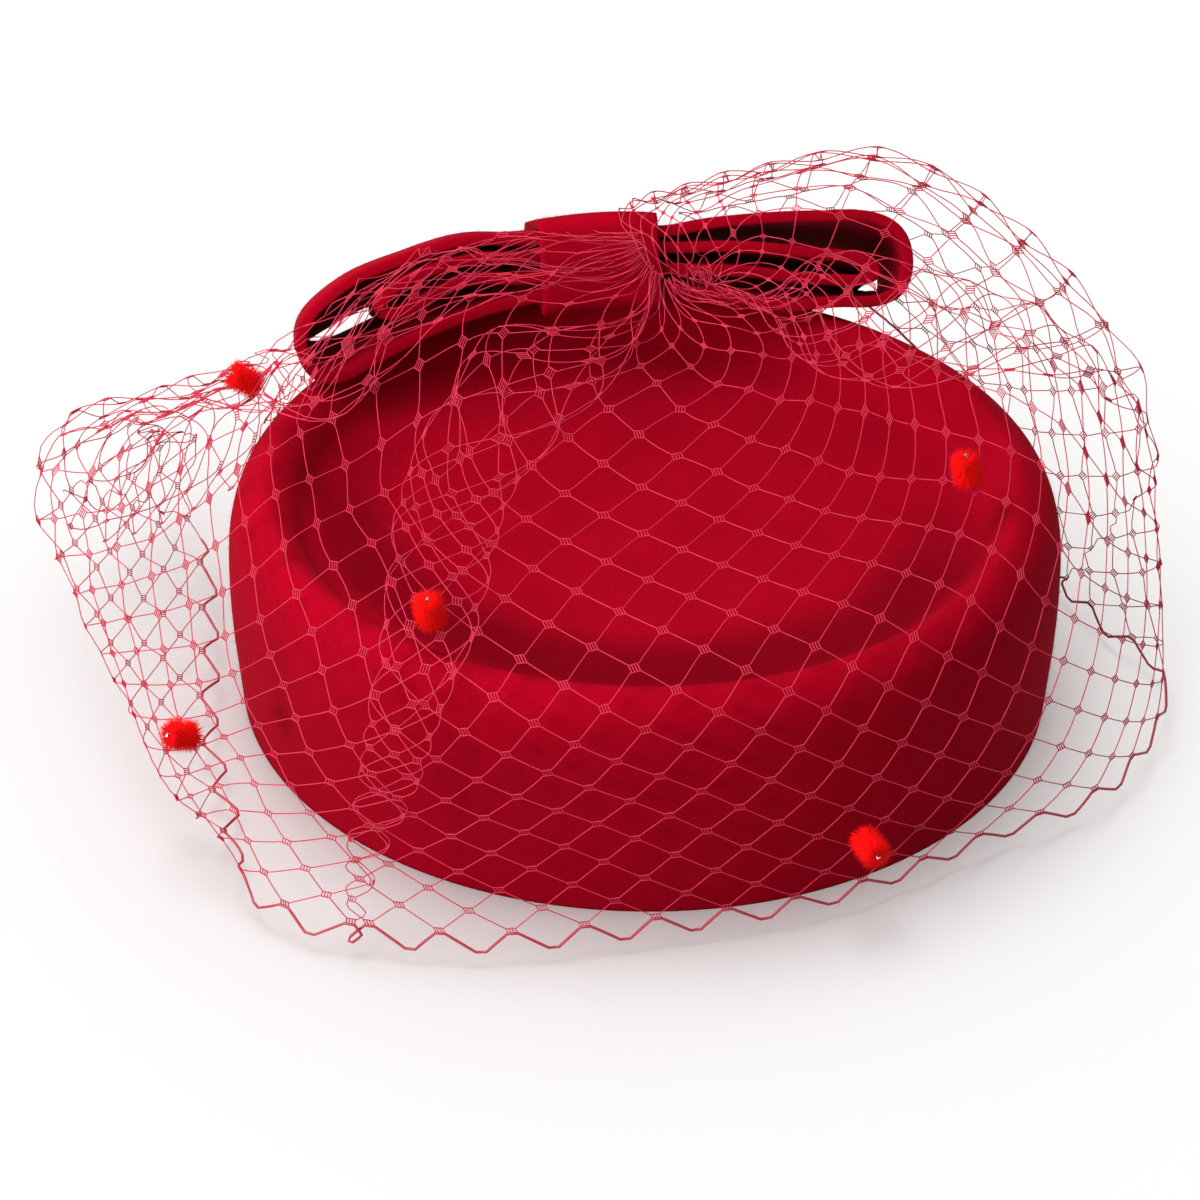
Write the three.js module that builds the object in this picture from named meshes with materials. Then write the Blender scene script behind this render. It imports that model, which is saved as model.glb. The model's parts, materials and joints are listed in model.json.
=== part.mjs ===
// Pillbox hat in wool felt: a blocked crown with a dished top, a looped felt bow
// over the back rim, and a short net veil that carries five chenille dots.
// Millimetres, +Z up, the hat's front towards -Y, standing on its cut edge at Z = 0.
import * as THREE from 'three';

// Sizes shared by the felt pieces
const FELT = 2.6;
const PIECE_GAP = 0.4;

// Crown
const CROWN_WIDTH = 180;
const CROWN_DEPTH = 158;
const CROWN_HEIGHT = 54;
const CROWN_SIDES = 48;
const STEPS_PER_SECTION_ROW = 2;
const RIM_CREST_INSET = 8.6;
const WALL_BULGE = 1.0;

// Crown section, from the middle of the dished top to the cut edge:
// inset is the distance in from the wall, drop the distance below the rim's crest.
const CROWN_SECTION = [
  { inset: CROWN_WIDTH / 2, drop: 11.0 },
  { inset: 50.0, drop: 11.2 },
  { inset: 22.0, drop: 10.8 },
  { inset: 16.6, drop: 8.8 },
  { inset: 12.6, drop: 2.6 },
  { inset: RIM_CREST_INSET, drop: 0.0 },
  { inset: 3.2, drop: 2.8 },
  { inset: 0.2, drop: 9.5 },
  { inset: -0.9, drop: 20.0 },
  { inset: -WALL_BULGE, drop: 34.0 },
  { inset: -0.4, drop: 46.0 },
  { inset: 0.0, drop: CROWN_HEIGHT },
];

// Bow: one long strip for the outer pair of loops, one for the inner pair, and a wrap round both
const BOW_STRIP_WIDTH = 34;
const BOW_TILT = THREE.MathUtils.degToRad(29);
const BOW_TWIST = THREE.MathUtils.degToRad(14);
const BOW_YAW = THREE.MathUtils.degToRad(8);
const BOW_TAPER = 0.25;
const BOW_LOOP_RUN = 25;
const BOW_LEFT_SAG = 7;
const BOW_STEPS = 60;
const BOW_STEPS_ACROSS = 3;
const KNOT_WIDTH = 27;
const KNOT_CORNER = 2.0;
const KNOT_CORNER_STEPS = 2;
const KNOT_STEPS_ACROSS = 3;
const KNOT_EASE = 0.7;
const KNOT_SHARE_OF_SPINE = 0.475;
const STACKED_LAYERS = 4;

// The line that the bow's front lower edge follows over the back rim, left to right
const BOW_SPINE = [
  { x: -72, y: 30, z: 58.8 },
  { x: -43, y: 46, z: 66.2 },
  { x: -8, y: 55, z: 68.9 },
  { x: 28, y: 58, z: 63.0 },
  { x: 62, y: 60, z: 53.4 },
];

// Bends of the two strips: along is measured from the knot's middle, up from the bow's underside
const OUTER_BENDS = [
  { along: 0, up: 10.3 },
  { along: 16, up: 10.6 },
  { along: 25, up: 13.4 },
  { along: 36, up: 16.2 },
  { along: 52, up: 19.8 },
  { along: 66, up: 22.6 },
  { along: 72, up: 20.8 },
  { along: 73.6, up: 14.4 },
  { along: 71, up: 7.0 },
  { along: 63, up: 2.6 },
  { along: 49, up: 1.3 },
  { along: 18, up: 1.3 },
  { along: 0, up: 1.3 },
  { along: -18, up: 1.3 },
  { along: -52, up: 0.8 },
  { along: -65, up: 1.4 },
  { along: -72, up: 6.6 },
  { along: -71, up: 12.8 },
  { along: -61, up: 16.6 },
  { along: -44, up: 15.2 },
  { along: -30, up: 14.0 },
  { along: -18, up: 11.0 },
];
const INNER_BENDS = [
  { along: 0, up: 7.3 },
  { along: 18, up: 7.5 },
  { along: 34, up: 9.6 },
  { along: 50, up: 11.0 },
  { along: 61, up: 12.2 },
  { along: 66, up: 10.6 },
  { along: 63, up: 7.8 },
  { along: 52, up: 5.9 },
  { along: 36, up: 5.6 },
  { along: 18, up: 4.5 },
  { along: 0, up: 4.3 },
  { along: -18, up: 4.5 },
  { along: -29, up: 6.1 },
  { along: -48, up: 5.7 },
  { along: -53, up: 7.7 },
  { along: -49, up: 9.9 },
  { along: -29, up: 9.3 },
  { along: -18, up: 7.5 },
];

// Veil: a coarse net on a tent-shaped sheet, gathered in front of the knot
const NET_COLUMNS = 19;
const NET_ROWS = 6;
const NET_THICKNESS = 1.4;
const STRAND_WIDTH = 1.9;
const KNOT_REACH = 1.4;
const GATHER_SHARE = 0.15;
const GATHER_HALF_LENGTH = 24;
const GATHER_UP_LEFT = 9;
const GATHER_UP_RIGHT = 1;
const VEIL_CLEARANCE = 1.6;
const SLOPE_STEP = 0.01;

// Ribs of the veil from its left end round the front to its right end: top is a place over the
// crown, rim where a rib leaves the crown, turn where it bends down or under, hem where it ends.
const VEIL_RIBS = [
  { top: [-72, 22, 63], rim: [-95, 42, 55], turn: [-120, 47, 42], hem: [-104, 66, 16] },
  { top: [-72, 18, 61], rim: [-95, 31, 55], turn: [-132, 31, 46], hem: [-106, 50, 11] },
  { top: [-70, 13, 59], rim: [-92, 18, 56], turn: [-135, 14, 36], hem: [-98, 28, 8] },
  { top: [-67, 6, 58], rim: [-88, 0, 57], turn: [-126, -6, 27], hem: [-94, -5, 5] },
  { top: [-60, 0, 57], rim: [-80, -22, 57], turn: [-113, -32, 20], hem: [-92, -29, 4] },
  { top: [-52, -4, 57], rim: [-70, -42, 57], turn: [-97, -60, 12], hem: [-85, -55, 3] },
  { top: [-40, -6, 57], rim: [-52, -60, 57], turn: [-77, -78, 20], hem: [-78, -84, 3] },
  { top: [-22, -6, 57], rim: [-27, -72, 57], turn: [-40, -86, 25], hem: [-43, -95, 3] },
  { top: [0, -6, 57], rim: [2, -75, 57], turn: [-3, -85, 25], hem: [-4, -91, 3] },
  { top: [24, -4, 57], rim: [32, -68, 57], turn: [35, -80, 25], hem: [38, -80, 3] },
  { top: [44, 0, 57], rim: [60, -52, 57], turn: [70, -64, 25], hem: [74, -60, 3] },
  { top: [56, 8, 58], rim: [79, -28, 58], turn: [97, -42, 25], hem: [101, -44, 3] },
  { top: [60, 18, 61], rim: [89, -2, 60], turn: [111, -12, 28], hem: [116, -8, 3] },
  { top: [60, 28, 66], rim: [90, 22, 63], turn: [113, 18, 38], hem: [102, 12, 3] },
  { top: [57, 38, 75], rim: [84, 42, 71], turn: [110, 42, 50], hem: [84, 46, 6] },
  { top: [47, 46, 84], rim: [68, 54, 83], turn: [89, 66, 66], hem: [74, 84, 14] },
  { top: [28, 50, 88], rim: [43, 60, 91], turn: [58, 84, 79], hem: [52, 106, 26] },
  { top: [6, 50, 82], rim: [9, 61, 86], turn: [14, 87, 78], hem: [16, 108, 40] },
];

// Chenille dots, each on a strand of the net: column and row count along and down the net's knots
const DOT_DIAMETER = 7.5;
const DOT_LENGTH = 7.0;
const DOT_ROUND = 1.8;
const DOT_ROUND_STEPS = 1;
const DOT_SIDES = 14;
const DOTS = [
  { name: 'dot_1', column: 0.9, row: 1.95 },
  { name: 'dot_2', column: 5.75, row: 3.28 },
  { name: 'dot_3', column: 4.35, row: 4.7 },
  { name: 'dot_4', column: 11.8, row: 2.78 },
  { name: 'dot_5', column: 9.58, row: 5.33 },
];

// Finishes
const FELT_CRIMSON = { color: 0xa30a26, roughness: 0.95, metalness: 0 };
const NET_ROSE = { color: 0xc9304f, roughness: 0.7, metalness: 0 };
const CHENILLE_RED = { color: 0xd9161c, roughness: 0.9, metalness: 0 };

function namedMesh(name, geometry, finish) {
  const mesh = new THREE.Mesh(geometry, new THREE.MeshStandardMaterial(finish));
  mesh.name = name;
  return mesh;
}

function meshFrom(points, quads) {
  const geometry = new THREE.BufferGeometry().setFromPoints(points);
  geometry.setIndex(quads.flatMap(([a, b, c, d]) => [a, b, c, a, c, d]));
  geometry.computeVertexNormals();
  return geometry;
}

// Crown: the section and its inner face, one felt thickness away, turned about the middle
function crownGeometry() {
  const rows = CROWN_SECTION.map(
    ({ inset, drop }) => new THREE.Vector2(CROWN_WIDTH / 2 - inset, CROWN_HEIGHT - drop),
  );
  const spline = new THREE.SplineCurve(rows);
  const steps = (rows.length - 1) * STEPS_PER_SECTION_ROW;
  const outer = spline.getPoints(steps);
  const inner = outer.map((point, i) => {
    const along = spline.getTangent(i / steps);
    return new THREE.Vector2(point.x + along.y * FELT, point.y - along.x * FELT);
  });
  inner[0].x = 0;
  inner[steps].y = 0;
  const geometry = new THREE.LatheGeometry([...inner, ...outer.reverse()], CROWN_SIDES);
  geometry.rotateX(Math.PI / 2);
  geometry.scale(1, CROWN_DEPTH / CROWN_WIDTH, 1);
  return geometry;
}

// Bow space: along the spine, up from the underside, and back across the strip's width
const spine = new THREE.CatmullRomCurve3(BOW_SPINE.map(({ x, y, z }) => new THREE.Vector3(x, y, z)));
const spineLength = spine.getLength();
const bowAxis = new THREE.Vector3(Math.cos(BOW_YAW), Math.sin(BOW_YAW), 0);

function bowPoint(along, up, back) {
  const share = KNOT_SHARE_OF_SPINE + along / spineLength;
  const onSpine = THREE.MathUtils.clamp(share, 0, 1);
  const tilt = BOW_TILT + (BOW_TWIST * along) / spineLength;
  const across = new THREE.Vector3(-bowAxis.y, bowAxis.x, 0).multiplyScalar(back);
  across.z = up;
  return spine
    .getPointAt(onSpine)
    .addScaledVector(spine.getTangentAt(onSpine), (share - onSpine) * spineLength)
    .add(across.applyAxisAngle(bowAxis, -tilt));
}

// A closed felt band: centreline(share) is its closed middle line at a share of its width,
// and place(share, point) sets a point of that line in space.
function feltBand(centreline, place, acrossSteps) {
  const shares = Array.from({ length: acrossSteps + 1 }, (_, k) => k / acrossSteps);
  const faces = shares.map((share) => {
    const line = centreline(share);
    return line.map((point, i) => {
      const before = line[(i + line.length - 1) % line.length];
      const after = line[(i + 1) % line.length];
      const side = new THREE.Vector2(after.y - before.y, before.x - after.x).setLength(FELT / 2);
      return { left: point.clone().sub(side), right: point.clone().add(side) };
    });
  });
  const count = faces[0].length;
  const points = [];
  for (let i = 0; i < count; i += 1) {
    shares.forEach((share, k) => points.push(place(share, faces[k][i].left)));
    [...shares.keys()].reverse().forEach((k) => points.push(place(shares[k], faces[k][i].right)));
  }
  const ring = shares.length * 2;
  const quads = [];
  for (let i = 0; i < count; i += 1) {
    const next = (i + 1) % count;
    for (let k = 0; k < ring; k += 1) {
      const across = (k + 1) % ring;
      quads.push([i * ring + k, next * ring + k, next * ring + across, i * ring + across]);
    }
  }
  return meshFrom(points, quads);
}

// Away from the wrapped middle the loops narrow towards the back, and the left ones sag there too
function loopUp(along, up, share) {
  const flat = KNOT_WIDTH / 2;
  const open = THREE.MathUtils.smoothstep(Math.abs(along), flat, flat + BOW_LOOP_RUN);
  const sag = along < 0 ? BOW_LEFT_SAG * share ** 3 : 0;
  return up * (1 - BOW_TAPER * open * share ** 2) - sag * open;
}

function bowLoopsGeometry(bends) {
  const path = new THREE.CatmullRomCurve3(
    bends.map(({ along, up }) => new THREE.Vector3(along, up, 0)),
    true,
  );
  const loop = path.getSpacedPoints(BOW_STEPS).slice(0, BOW_STEPS);
  const centreline = (share) => loop.map(({ x, y }) => new THREE.Vector2(x, loopUp(x, y, share)));
  const place = (share, { x, y }) => bowPoint(x, y, share * BOW_STRIP_WIDTH);
  return feltBand(centreline, place, BOW_STEPS_ACROSS);
}

function knotGeometry() {
  const reach = KNOT_EASE + FELT / 2;
  const stack = STACKED_LAYERS * FELT + (STACKED_LAYERS - 1) * PIECE_GAP;
  const [left, right] = [-reach, BOW_STRIP_WIDTH + reach];
  const [low, high] = [-reach, stack + reach];
  const outline = new THREE.Path();
  outline.moveTo(left + KNOT_CORNER, low);
  outline.lineTo(right - KNOT_CORNER, low);
  outline.absarc(right - KNOT_CORNER, low + KNOT_CORNER, KNOT_CORNER, -Math.PI / 2, 0);
  outline.lineTo(right, high - KNOT_CORNER);
  outline.absarc(right - KNOT_CORNER, high - KNOT_CORNER, KNOT_CORNER, 0, Math.PI / 2);
  outline.lineTo(left + KNOT_CORNER, high);
  outline.absarc(left + KNOT_CORNER, high - KNOT_CORNER, KNOT_CORNER, Math.PI / 2, Math.PI);
  outline.lineTo(left, low + KNOT_CORNER);
  outline.absarc(left + KNOT_CORNER, low + KNOT_CORNER, KNOT_CORNER, Math.PI, Math.PI * 1.5);
  const wrap = outline.getPoints(KNOT_CORNER_STEPS).slice(0, -1);
  const place = (share, { x, y }) => bowPoint((0.5 - share) * KNOT_WIDTH, y, x);
  return feltBand(() => wrap, place, KNOT_STEPS_ACROSS);
}

// Veil sheet: curves through each column of the rib table, and a rib through those at any place
const vector = ([x, y, z]) => new THREE.Vector3(x, y, z);
const columnLine = (column) => new THREE.CatmullRomCurve3(VEIL_RIBS.map((rib) => vector(rib[column])));
const turnLine = columnLine('turn');
const ribLines = [columnLine('top'), columnLine('rim'), turnLine, columnLine('hem')];
const gatherBack = -(FELT + KNOT_EASE + PIECE_GAP + NET_THICKNESS / 2);
const ribs = new Map();

function ribAt(share) {
  if (!ribs.has(share)) {
    const place = turnLine.getUtoTmapping(share);
    const up = THREE.MathUtils.lerp(GATHER_UP_LEFT, GATHER_UP_RIGHT, share);
    const gather = bowPoint((2 * share - 1) * GATHER_HALF_LENGTH, up, gatherBack);
    ribs.set(share, new THREE.CatmullRomCurve3([gather, ...ribLines.map((line) => line.getPoint(place))]));
  }
  return ribs.get(share);
}

// Lifts or moves a point of the veil out of the crown, whose dished top counts as filled
function clearOfCrown(point) {
  const halfWidth = CROWN_WIDTH / 2 + WALL_BULGE;
  const halfDepth = CROWN_DEPTH / 2 + WALL_BULGE;
  const radius = Math.hypot(point.x / halfWidth, point.y / halfDepth);
  const inset = (1 - radius) * halfWidth;
  const rounding = Math.min(Math.max(inset, 0), RIM_CREST_INSET) - RIM_CREST_INSET;
  const top = CROWN_HEIGHT - RIM_CREST_INSET + Math.sqrt(RIM_CREST_INSET ** 2 - rounding ** 2);
  const up = top + VEIL_CLEARANCE - point.z;
  const out = inset + VEIL_CLEARANCE;
  if (up > 0 && out > 0) {
    if (up < out) {
      point.z += up;
    } else {
      const scale = (1 + VEIL_CLEARANCE / halfWidth) / radius;
      point.x *= scale;
      point.y *= scale;
    }
  }
  return point;
}

function veilPoint(share, down) {
  return clearOfCrown(ribAt(share).getPointAt(down));
}

// Position and directions of the sheet at a share of its length and a distance down its ribs
function veilFrame(share, down) {
  const before = Math.max(share - SLOPE_STEP, 0);
  const after = Math.min(share + SLOPE_STEP, 1);
  const upper = Math.max(down - SLOPE_STEP, 0);
  const lower = Math.min(down + SLOPE_STEP, 1);
  const along = veilPoint(after, down).sub(veilPoint(before, down)).normalize();
  const fall = veilPoint(share, lower).sub(veilPoint(share, upper)).normalize();
  const normal = along.clone().cross(fall).normalize().negate();
  return { point: veilPoint(share, down), along, fall, normal };
}

const rowDown = (row) => GATHER_SHARE + ((1 - GATHER_SHARE) * row) / NET_ROWS;
const columnShare = (column) => column / NET_COLUMNS;

// Gives a sheet of quads its thickness, with a wall along every free edge
function thickSheet(vertices, quads, thickness) {
  const side = (sign) =>
    vertices.map(({ point, normal }) => point.clone().addScaledVector(normal, (sign * thickness) / 2));
  const count = vertices.length;
  const under = quads.map(([a, b, c, d]) => [d + count, c + count, b + count, a + count]);
  const edges = new Set();
  const eachEdge = (quad, visit) => quad.forEach((from, k) => visit(from, quad[(k + 1) % quad.length]));
  quads.forEach((quad) => eachEdge(quad, (from, to) => edges.add(`${from},${to}`)));
  const walls = [];
  quads.forEach((quad) =>
    eachEdge(quad, (from, to) => {
      if (!edges.has(`${to},${from}`)) walls.push([from, from + count, to + count, to]);
    }),
  );
  return meshFrom([...side(1), ...side(-1)], [...quads, ...under, ...walls]);
}

function veilGeometry() {
  const vertices = [];
  const quads = [];
  const addVertex = (point, normal) => vertices.push({ point, normal }) - 1;
  const knots = new Map();
  const knotAt = (column, row) => knots.get(`${column},${row}`);
  for (let row = 0; row <= NET_ROWS; row += 1) {
    const first = (row % 2) / 2;
    for (let column = first; column <= NET_COLUMNS - first; column += 1) {
      const { point, along, fall, normal } = veilFrame(columnShare(column), rowDown(row));
      const corner = (direction, sign) =>
        addVertex(point.clone().addScaledVector(direction, sign * KNOT_REACH), normal);
      const knot = {
        top: corner(fall, -1),
        right: corner(along, 1),
        bottom: corner(fall, 1),
        left: corner(along, -1),
        column,
        row,
      };
      quads.push([knot.top, knot.left, knot.bottom, knot.right]);
      knots.set(`${column},${row}`, knot);
    }
  }
  const strand = (lower, upper, leftEdge, rightEdge) => {
    const share = columnShare((lower.column + upper.column) / 2);
    const { point, normal } = veilFrame(share, (rowDown(lower.row) + rowDown(upper.row)) / 2);
    const [from, to] = [vertices[lower.top].point, vertices[upper.bottom].point];
    const across = to.clone().sub(from).cross(normal).setLength(STRAND_WIDTH / 2);
    const left = addVertex(point.clone().sub(across), normal);
    const right = addVertex(point.clone().add(across), normal);
    quads.push([leftEdge[0], left, right, rightEdge[0]].reverse());
    quads.push([left, leftEdge[1], rightEdge[1], right].reverse());
  };
  knots.forEach((lower) => {
    const upRight = knotAt(lower.column + 0.5, lower.row - 1);
    const upLeft = knotAt(lower.column - 0.5, lower.row - 1);
    if (upRight) strand(lower, upRight, [lower.top, upRight.left], [lower.right, upRight.bottom]);
    if (upLeft) strand(lower, upLeft, [lower.left, upLeft.bottom], [lower.top, upLeft.right]);
  });
  const gathered = [];
  for (let column = 0; column <= NET_COLUMNS; column += 1) {
    const { point, normal } = veilFrame(columnShare(column), 0);
    gathered.push(addVertex(point, normal));
  }
  for (let column = 0; column < NET_COLUMNS; column += 1) {
    const [here, next] = [knotAt(column, 0), knotAt(column + 1, 0)];
    quads.push([gathered[column], here.top, next.top, gathered[column + 1]]);
    quads.push([here.top, here.right, next.left, next.top]);
  }
  return thickSheet(vertices, quads, NET_THICKNESS);
}

// A short plump length of chenille standing on its knot of the net
function dotMesh({ name, column, row }) {
  const outline = new THREE.Path();
  const radius = DOT_DIAMETER / 2;
  outline.moveTo(0, 0);
  outline.lineTo(radius - DOT_ROUND, 0);
  outline.absarc(radius - DOT_ROUND, DOT_ROUND, DOT_ROUND, -Math.PI / 2, 0);
  outline.absarc(radius - DOT_ROUND, DOT_LENGTH - DOT_ROUND, DOT_ROUND, 0, Math.PI / 2);
  outline.lineTo(0, DOT_LENGTH);
  const barrel = new THREE.LatheGeometry(outline.getPoints(DOT_ROUND_STEPS), DOT_SIDES);
  const mesh = namedMesh(name, barrel, CHENILLE_RED);
  const { point, normal } = veilFrame(columnShare(column), rowDown(row));
  mesh.quaternion.setFromUnitVectors(new THREE.Vector3(0, 1, 0), normal);
  mesh.position.copy(point).addScaledVector(normal, NET_THICKNESS / 2 + PIECE_GAP);
  return mesh;
}

// The origin is the middle of the hat's footprint, on the surface that it stands on
const hat = new THREE.Group();
hat.add(
  namedMesh('crown', crownGeometry(), FELT_CRIMSON),
  namedMesh('bow_outer', bowLoopsGeometry(OUTER_BENDS), FELT_CRIMSON),
  namedMesh('bow_inner', bowLoopsGeometry(INNER_BENDS), FELT_CRIMSON),
  namedMesh('bow_knot', knotGeometry(), FELT_CRIMSON),
  namedMesh('veil', veilGeometry(), NET_ROSE),
  ...DOTS.map(dotMesh),
);
const footprint = new THREE.Box3().setFromObject(hat).getCenter(new THREE.Vector3());
hat.position.set(-footprint.x, -footprint.y, 0);

export default hat;
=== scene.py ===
# %% [markdown]
# # A felt pillbox hat with a bow and a net veil
#
# The real hat is a shell of thick wool felt, blocked over a wooden form, with a felt bow
# sewn over its back rim and a short veil of open net gathered in front of the bow. The
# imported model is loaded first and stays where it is. Its solids are right in size but plain,
# so each one gets a finer piece in the same place.

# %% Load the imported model
import json
import math

import bmesh
import bpy
import numpy as np
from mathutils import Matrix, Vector, noise

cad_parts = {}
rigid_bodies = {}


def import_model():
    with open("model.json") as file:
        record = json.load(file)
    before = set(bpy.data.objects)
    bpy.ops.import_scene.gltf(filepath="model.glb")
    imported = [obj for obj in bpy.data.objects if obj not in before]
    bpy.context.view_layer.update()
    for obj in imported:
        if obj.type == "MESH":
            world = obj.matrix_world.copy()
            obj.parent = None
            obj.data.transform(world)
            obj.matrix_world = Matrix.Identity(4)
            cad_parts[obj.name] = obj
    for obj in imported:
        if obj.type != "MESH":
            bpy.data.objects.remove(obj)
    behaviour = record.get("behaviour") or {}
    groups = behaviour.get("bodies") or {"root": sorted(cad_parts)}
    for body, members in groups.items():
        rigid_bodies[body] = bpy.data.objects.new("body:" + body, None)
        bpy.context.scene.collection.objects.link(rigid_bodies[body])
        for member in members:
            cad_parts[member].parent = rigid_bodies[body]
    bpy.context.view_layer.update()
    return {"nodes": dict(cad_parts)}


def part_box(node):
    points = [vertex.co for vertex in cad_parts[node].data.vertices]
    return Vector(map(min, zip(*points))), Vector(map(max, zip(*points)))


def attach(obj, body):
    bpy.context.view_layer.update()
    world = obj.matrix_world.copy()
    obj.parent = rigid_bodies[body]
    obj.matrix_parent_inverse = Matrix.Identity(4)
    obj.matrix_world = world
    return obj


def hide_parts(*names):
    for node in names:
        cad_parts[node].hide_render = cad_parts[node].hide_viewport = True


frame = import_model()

print("solids:", ", ".join(sorted(frame["nodes"])))

# %% [markdown]
# ## One place for everything
#
# A hat maker measures from the middle of the crown's foot. The part's origin is the middle
# of the whole footprint, veil included, so sizes below are in millimetres from the crown's
# middle, and one helper turns them into metres in the part's frame.

# %% Millimetres from the crown's middle
MM = 0.001
crown_low, crown_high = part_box("crown")
crown_middle = (crown_low + crown_high) / 2
HAT_ORIGIN = np.array([crown_middle.x, crown_middle.y, crown_low.z])


def hat_place(points):
    """Points in millimetres from the crown's middle, in metres in the part's frame."""
    return np.asarray(points, float) * MM + HAT_ORIGIN


print("crown's middle:", [round(v, 4) for v in HAT_ORIGIN])

# %% [markdown]
# ## The camera
#
# The photograph looks down at the hat from the front, 38 degrees above the table and about
# three quarters of a metre away. The long lens keeps the crown's oval nearly parallel. The
# camera has no shift: it is aimed along the line that meets the middle of the picture.

# %% Camera at the photograph's angle
PICTURE_WIDTH = 1200
FOCAL_PIXELS = 3410.7
CAMERA_DISTANCE = 750
CAMERA_ELEVATION = math.radians(38)
SIGHT_POINT = np.array([0, 0, 30])
SIGHT_PIXEL = (644.2, 563.0)

forward = np.array([0, math.cos(CAMERA_ELEVATION), -math.sin(CAMERA_ELEVATION)])
upward = np.array([0, math.sin(CAMERA_ELEVATION), math.cos(CAMERA_ELEVATION)])
aside = (PICTURE_WIDTH / 2 - SIGHT_PIXEL[0]) / FOCAL_PIXELS
lower = (SIGHT_PIXEL[1] - PICTURE_WIDTH / 2) / FOCAL_PIXELS
aim = Vector(forward + aside * np.array([1, 0, 0]) + lower * upward)

lens = bpy.data.cameras.new("photo_lens")
lens.sensor_width = 36
lens.lens = FOCAL_PIXELS / PICTURE_WIDTH * lens.sensor_width
camera = bpy.data.objects.new("photo_camera", lens)
camera.location = hat_place(SIGHT_POINT - forward * CAMERA_DISTANCE)
camera.rotation_euler = aim.to_track_quat("-Z", "Y").to_euler()
bpy.context.scene.collection.objects.link(camera)
bpy.context.scene.camera = camera
print("lens:", round(lens.lens, 1), "mm")

# %% [markdown]
# ## Smooth lines
#
# Felt and net bend in smooth lines, so most shapes below are a short table of places and a
# curve through them. Square-root spacing keeps the curve from swinging out between places
# that lie at unequal distances. A second helper spreads points evenly along such a line.

# %% Curves through a few places


def smooth_line(points, places, closed=False):
    """Points of a smooth curve: place 2.5 lies halfway from the third point to the fourth."""
    points = np.asarray(points, float)
    places = np.asarray(places, float)
    if closed:
        padded = np.vstack([points[-1], points, points[0], points[1]])
        last = len(points) - 1
    else:
        padded = np.vstack([2 * points[0] - points[1], points, 2 * points[-1] - points[-2]])
        last = len(points) - 2
    first = np.clip(np.floor(places).astype(int), 0, last)
    part = (places - first)[:, None]
    a, b, c, d = (padded[first + k] for k in range(4))
    ends = ((a, b), (b, c), (c, d))
    ab, bc, cd = (np.sqrt(np.linalg.norm(q - p, axis=1, keepdims=True)) for p, q in ends)
    leaving = bc * ((b - a) / ab - (c - a) / (ab + bc) + (c - b) / bc)
    arriving = bc * ((c - b) / bc - (d - b) / (bc + cd) + (d - c) / cd)
    return (
        (2 * part**3 - 3 * part**2 + 1) * b
        + (part**3 - 2 * part**2 + part) * leaving
        + (3 * part**2 - 2 * part**3) * c
        + (part**3 - part**2) * arriving
    )


def distances(points):
    """Distance of each point along its line."""
    return np.r_[0, np.cumsum(np.linalg.norm(np.diff(points, axis=0), axis=1))]


def spread_evenly(points, count):
    """The same line with its points at equal distances."""
    along = distances(points)
    wanted = np.linspace(0, along[-1], count)
    return np.stack([np.interp(wanted, along, axis) for axis in points.T], axis=1)


def smooth_table(rows, values):
    """Reads a short table of two columns along a smooth curve."""
    line = smooth_line(rows, np.linspace(0, len(rows) - 1, 200))
    return np.interp(values, line[:, 0], line[:, 1])


def ease(share):
    """Goes from 0 to 1 slowly at both ends."""
    share = np.clip(share, 0, 1)
    return share * share * (3 - 2 * share)


print("curve helpers ready")

# %% [markdown]
# ## Wool fibre, shared by all the finishes
#
# Felt has no weave. What shows is a fine tangle of fibres, some lighter and some darker,
# with a soft unevenness from the blocking. A node group makes that once, as a colour and a
# height, and each material sets its own scale and depth. The shader stays in the material.

# %% Node group for fibre


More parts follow.
